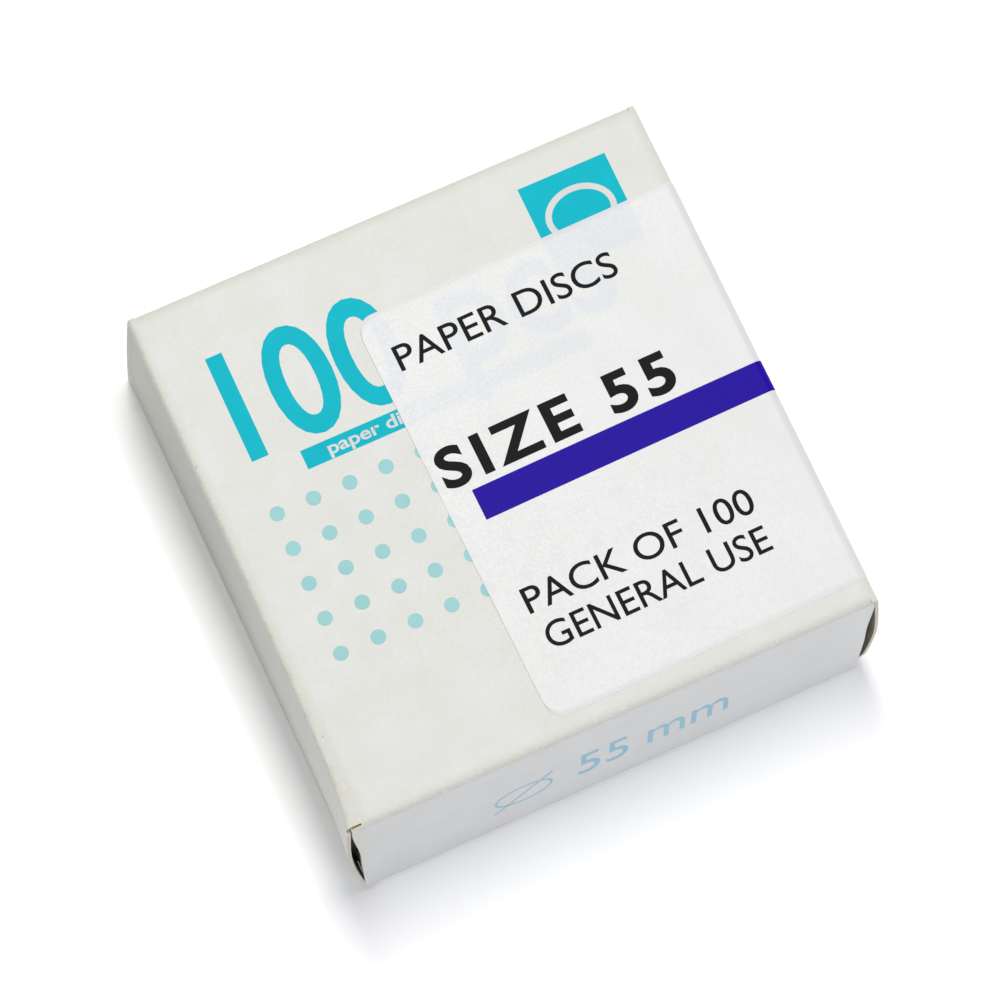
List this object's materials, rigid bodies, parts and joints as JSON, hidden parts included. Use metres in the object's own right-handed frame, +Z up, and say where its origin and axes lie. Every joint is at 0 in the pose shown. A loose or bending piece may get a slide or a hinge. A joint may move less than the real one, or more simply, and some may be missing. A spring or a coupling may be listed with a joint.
{
  "type": "tuck end folding carton with paper discs",
  "caption": "Flat square paperboard tuck-end carton with a translucent label over its top and side, holding a stack of round paper discs.",
  "frame": {"origin": "centre of the carton's base, on the surface it stands on", "axes": "+Z up, +X along the front closure towards the side the label wraps over, +Y from the front closure to the rear closure"},
  "size_m": [0.0601, 0.061, 0.0209],
  "materials": {
    "board_coated": "satin",
    "board_closure": "satin",
    "board_fold": "satin",
    "board_flap": "matte",
    "board_inside": "matte",
    "label_film": "satin",
    "filter_paper": "matte"
  },
  "bodies": {
    "sleeve": {"top_panel": "board_coated", "bottom_panel": "board_coated", "left_side_panel": "board_coated", "right_side_panel": "board_coated", "glue_flap": "board_inside", "fold_top_left": "board_fold", "fold_top_right": "board_fold", "fold_bottom_left": "board_fold", "fold_bottom_right": "board_fold", "label": "label_film"},
    "front_closure": {"front_closure": "board_closure"},
    "front_tuck_flap": {"front_tuck_flap": "board_flap"},
    "front_dust_flap_left": {"front_dust_flap_left": "board_flap"},
    "front_dust_flap_right": {"front_dust_flap_right": "board_flap"},
    "rear_closure": {"rear_closure": "board_closure"},
    "rear_tuck_flap": {"rear_tuck_flap": "board_flap"},
    "rear_dust_flap_left": {"rear_dust_flap_left": "board_flap"},
    "rear_dust_flap_right": {"rear_dust_flap_right": "board_flap"},
    "disc_stack": {"discs_01": "filter_paper", "discs_02": "filter_paper", "discs_03": "filter_paper", "discs_04": "filter_paper", "discs_05": "filter_paper", "discs_06": "filter_paper", "discs_07": "filter_paper", "discs_08": "filter_paper", "discs_09": "filter_paper", "discs_10": "filter_paper"}
  },
  "joints": [
    {"name": "front_closure_hinge", "type": "hinge", "parent": "sleeve", "child": "front_closure", "pos_m": [0, -0.03027, 0.02057], "axis": [-1, 0, 0], "range_deg": [0, 160]},
    {"name": "front_tuck_hinge", "type": "hinge", "parent": "front_closure", "child": "front_tuck_flap", "pos_m": [0, -0.02997, 0.00105], "axis": [-1, 0, 0], "range_deg": [-48, 0]},
    {"name": "front_dust_flap_left_hinge", "type": "hinge", "parent": "sleeve", "child": "front_dust_flap_left", "pos_m": [-0.02977, -0.02972, 0.0104], "axis": [0, 0, -1], "range_deg": [0, 88]},
    {"name": "front_dust_flap_right_hinge", "type": "hinge", "parent": "sleeve", "child": "front_dust_flap_right", "pos_m": [0.02977, -0.02972, 0.0104], "axis": [0, 0, 1], "range_deg": [0, 88]},
    {"name": "rear_closure_hinge", "type": "hinge", "parent": "sleeve", "child": "rear_closure", "pos_m": [0, 0.03027, 0.02057], "axis": [1, 0, 0], "range_deg": [0, 160]},
    {"name": "rear_tuck_hinge", "type": "hinge", "parent": "rear_closure", "child": "rear_tuck_flap", "pos_m": [0, 0.02997, 0.00105], "axis": [1, 0, 0], "range_deg": [-48, 0]},
    {"name": "rear_dust_flap_left_hinge", "type": "hinge", "parent": "sleeve", "child": "rear_dust_flap_left", "pos_m": [-0.02977, 0.02972, 0.0104], "axis": [0, 0, 1], "range_deg": [0, 88]},
    {"name": "rear_dust_flap_right_hinge", "type": "hinge", "parent": "sleeve", "child": "rear_dust_flap_right", "pos_m": [0.02977, 0.02972, 0.0104], "axis": [0, 0, -1], "range_deg": [0, 88]},
    {"name": "disc_stack_slide", "type": "slide", "parent": "sleeve", "child": "disc_stack", "axis": [0, 1, 0], "range_m": [-0.0009, 0.0009]}
  ],
  "couplings": [
    {"joint": "front_tuck_hinge", "follows": "front_closure_hinge", "ratio": -0.3},
    {"joint": "front_dust_flap_left_hinge", "follows": "front_closure_hinge", "ratio": 0.55},
    {"joint": "front_dust_flap_right_hinge", "follows": "front_closure_hinge", "ratio": 0.55},
    {"joint": "rear_tuck_hinge", "follows": "rear_closure_hinge", "ratio": -0.3},
    {"joint": "rear_dust_flap_left_hinge", "follows": "rear_closure_hinge", "ratio": 0.55},
    {"joint": "rear_dust_flap_right_hinge", "follows": "rear_closure_hinge", "ratio": 0.55}
  ]
}
